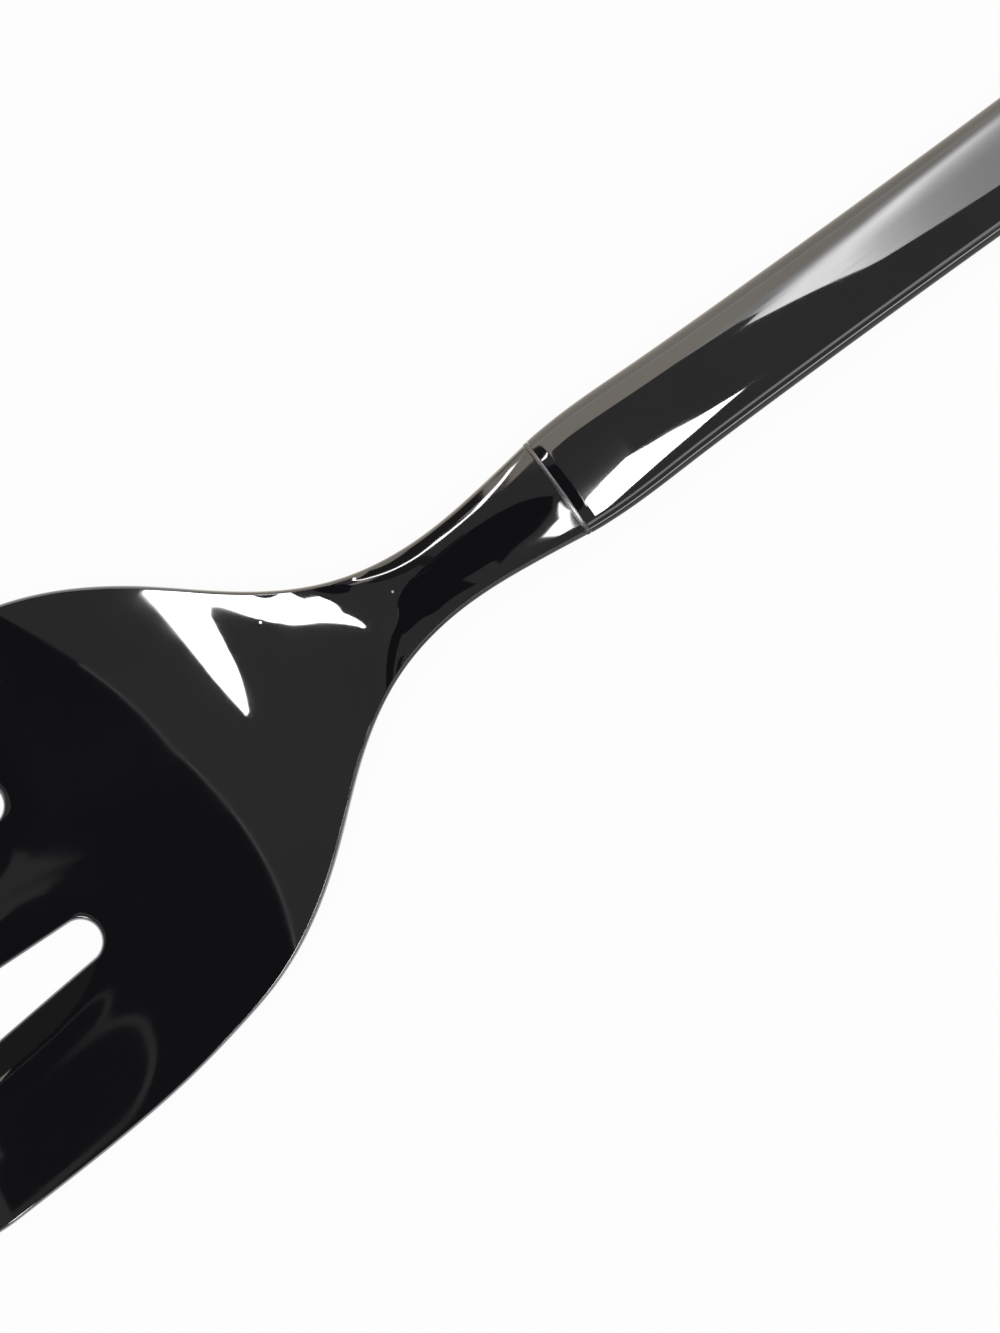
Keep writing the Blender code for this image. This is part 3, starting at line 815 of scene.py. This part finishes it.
def light_neck():
    """Near cards around the neck: grey ones that bound its dark lens, and a small softbox."""
    lens = mirror_directions(LENS_UPPER + LENS_LOWER)
    panel("neck_card", [*lens, (-0.127, 0.53), (-0.16, 0.615), (-0.25, 0.63), (-0.25, 0.93),
                        (0.12, 0.95), (0.12, -0.3), *mirror_directions(PALE_LIMIT), (-0.075, -0.7)],
          distance=NECK_DISTANCE, light=GREY)
    panel("neck_shade", [(-0.12, -0.45), (0.09, -0.45), (0.09, 0.45), (-0.08, 0.56), (-0.14, 0.56),
                         (-0.19, 0.36), (-0.3, 0.1), (-0.4, -0.02), (-0.4, -0.15), (-0.3, -0.3)],
          distance=0.092, light=BLACK, colour=COOL)
    panel("shoulder_shade", [(-0.13, 0.28), (-0.03, 0.28), (-0.03, 0.6), (-0.13, 0.6)],
          distance=0.05, light=GREY)
    panel("neck_fade", [(-0.56, -0.24), (-0.51, -0.12), (-0.445, 0), (-0.385, 0.1), (-0.325, 0.25),
                        (-0.22, 0.4), (-0.2, 0.55), (-0.2, 0.8), (-0.5, 0.7), (-0.75, 0.5),
                        (-0.75, -0.1)], distance=0.019, light=GREY)
    panel("neck_softbox", mirror_directions(BRIGHT_SPOT), distance=0.088, light=9)
    panel("transition_card", [*mirror_directions(LENS_END), (-0.48, 0.05), (-0.56, 0.05),
                              (-0.56, -0.6), (-0.186, -0.6)], distance=NECK_DISTANCE, light=GREY)


def light_shoulder():
    """The softbox that makes the bright V on the shoulder, and a small one for its corner."""
    panel("shoulder_softbox", [(-0.575, -0.04), (-0.567, 0.08), (-0.565, 0.2), (-0.563, 0.332),
                               (-0.86, 0.332), (-0.86, 0.24), (-0.81, 0.232), (-0.76, 0.23),
                               (-0.715, 0.21), (-0.68, 0.168), (-0.65, 0.12), (-0.625, 0.06),
                               (-0.6, 0), (-0.585, -0.035)], distance=0.6, light=SOFTBOX)
    panel("shoulder_corner", [(-0.645, -0.105), (-0.62, -0.092), (-0.58, -0.103), (-0.56, -0.1),
                              (-0.55, -0.07), (-0.6, -0.02), (-0.645, 0.025)],
          distance=0.087, light=SOFTBOX)


def light_edges():
    """A bright strip for the neck's edge between dark cards, and cards on the table for its sides."""
    strip_path = [(0.015, -0.774), (-0.02, -0.739), (-0.038, -0.707), (-0.066, -0.707),
                  (-0.105, -0.722), (-0.134, -0.752), (-0.165, -0.763), (-0.19, -0.763)]
    panel("edge_strip", band(strip_path, 0.022), distance=0.086, light=8)
    panel("edge_card", [(-0.5, -0.74), (-0.155, -0.75), (-0.155, -0.985), (-0.3, -0.945),
                        (-0.5, -0.86)], distance=0.6, light=DARK)
    table_card("table_shade", 0, -LINE_NEAR, light=0.22)
    table_card("table_line", -LINE_NEAR, -LINE_FAR, light=2)
    table_card("table_shade_far", -LINE_FAR, -CARD_FAR, light=0.16)
    table_card("table_warm", 0, CARD_FAR, light=0.82, colour=WARM)
    panel("edge_shade", [(-0.03, -0.745), (-0.1, -0.752), (-0.13, -0.78), (-0.19, -0.79),
                         (-0.25, -0.79), (-0.25, -0.9), (-0.03, -0.9)],
          distance=NECK_DISTANCE, light=DARK)


def make_studio():
    """Cards and softboxes, placed by where the polish mirrors them."""
    light_head()
    light_handle()
    light_neck()
    light_shoulder()
    light_edges()


def make_camera():
    """The photograph's camera, straight above and turned so that the fork lies across the frame."""
    data = bpy.data.cameras.new("camera")
    data.lens = data.sensor_width * CAMERA_DISTANCE / FRAME_HEIGHT
    camera = bpy.data.objects.new("camera", data)
    camera.location = CENTRE + (0, 0, CAMERA_DISTANCE)
    camera.rotation_euler = 0, 0, -np.radians(FRAME_TURN)
    bpy.context.scene.collection.objects.link(camera)
    bpy.context.scene.camera = camera


make_camera()
dress(make_head(), "fork_head", steel("head_steel", HEAD_STEEL))
dress(make_ring(), "bolster_ring", steel("bead_steel", BEAD_STEEL, BEAD_DULL))
handle_steel = steel("handle_steel", HANDLE_STEEL)
dress(make_shell("polished_upper_shell", 1), "handle_upper_shell", handle_steel)
dress(make_shell("polished_lower_shell", -1), "handle_lower_shell", handle_steel)
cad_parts["handle_filler"].material_slots[0].material = set_filler("set_filler")
make_floor()
make_light()
make_studio()
bpy.context.scene.view_settings.view_transform = "Standard"
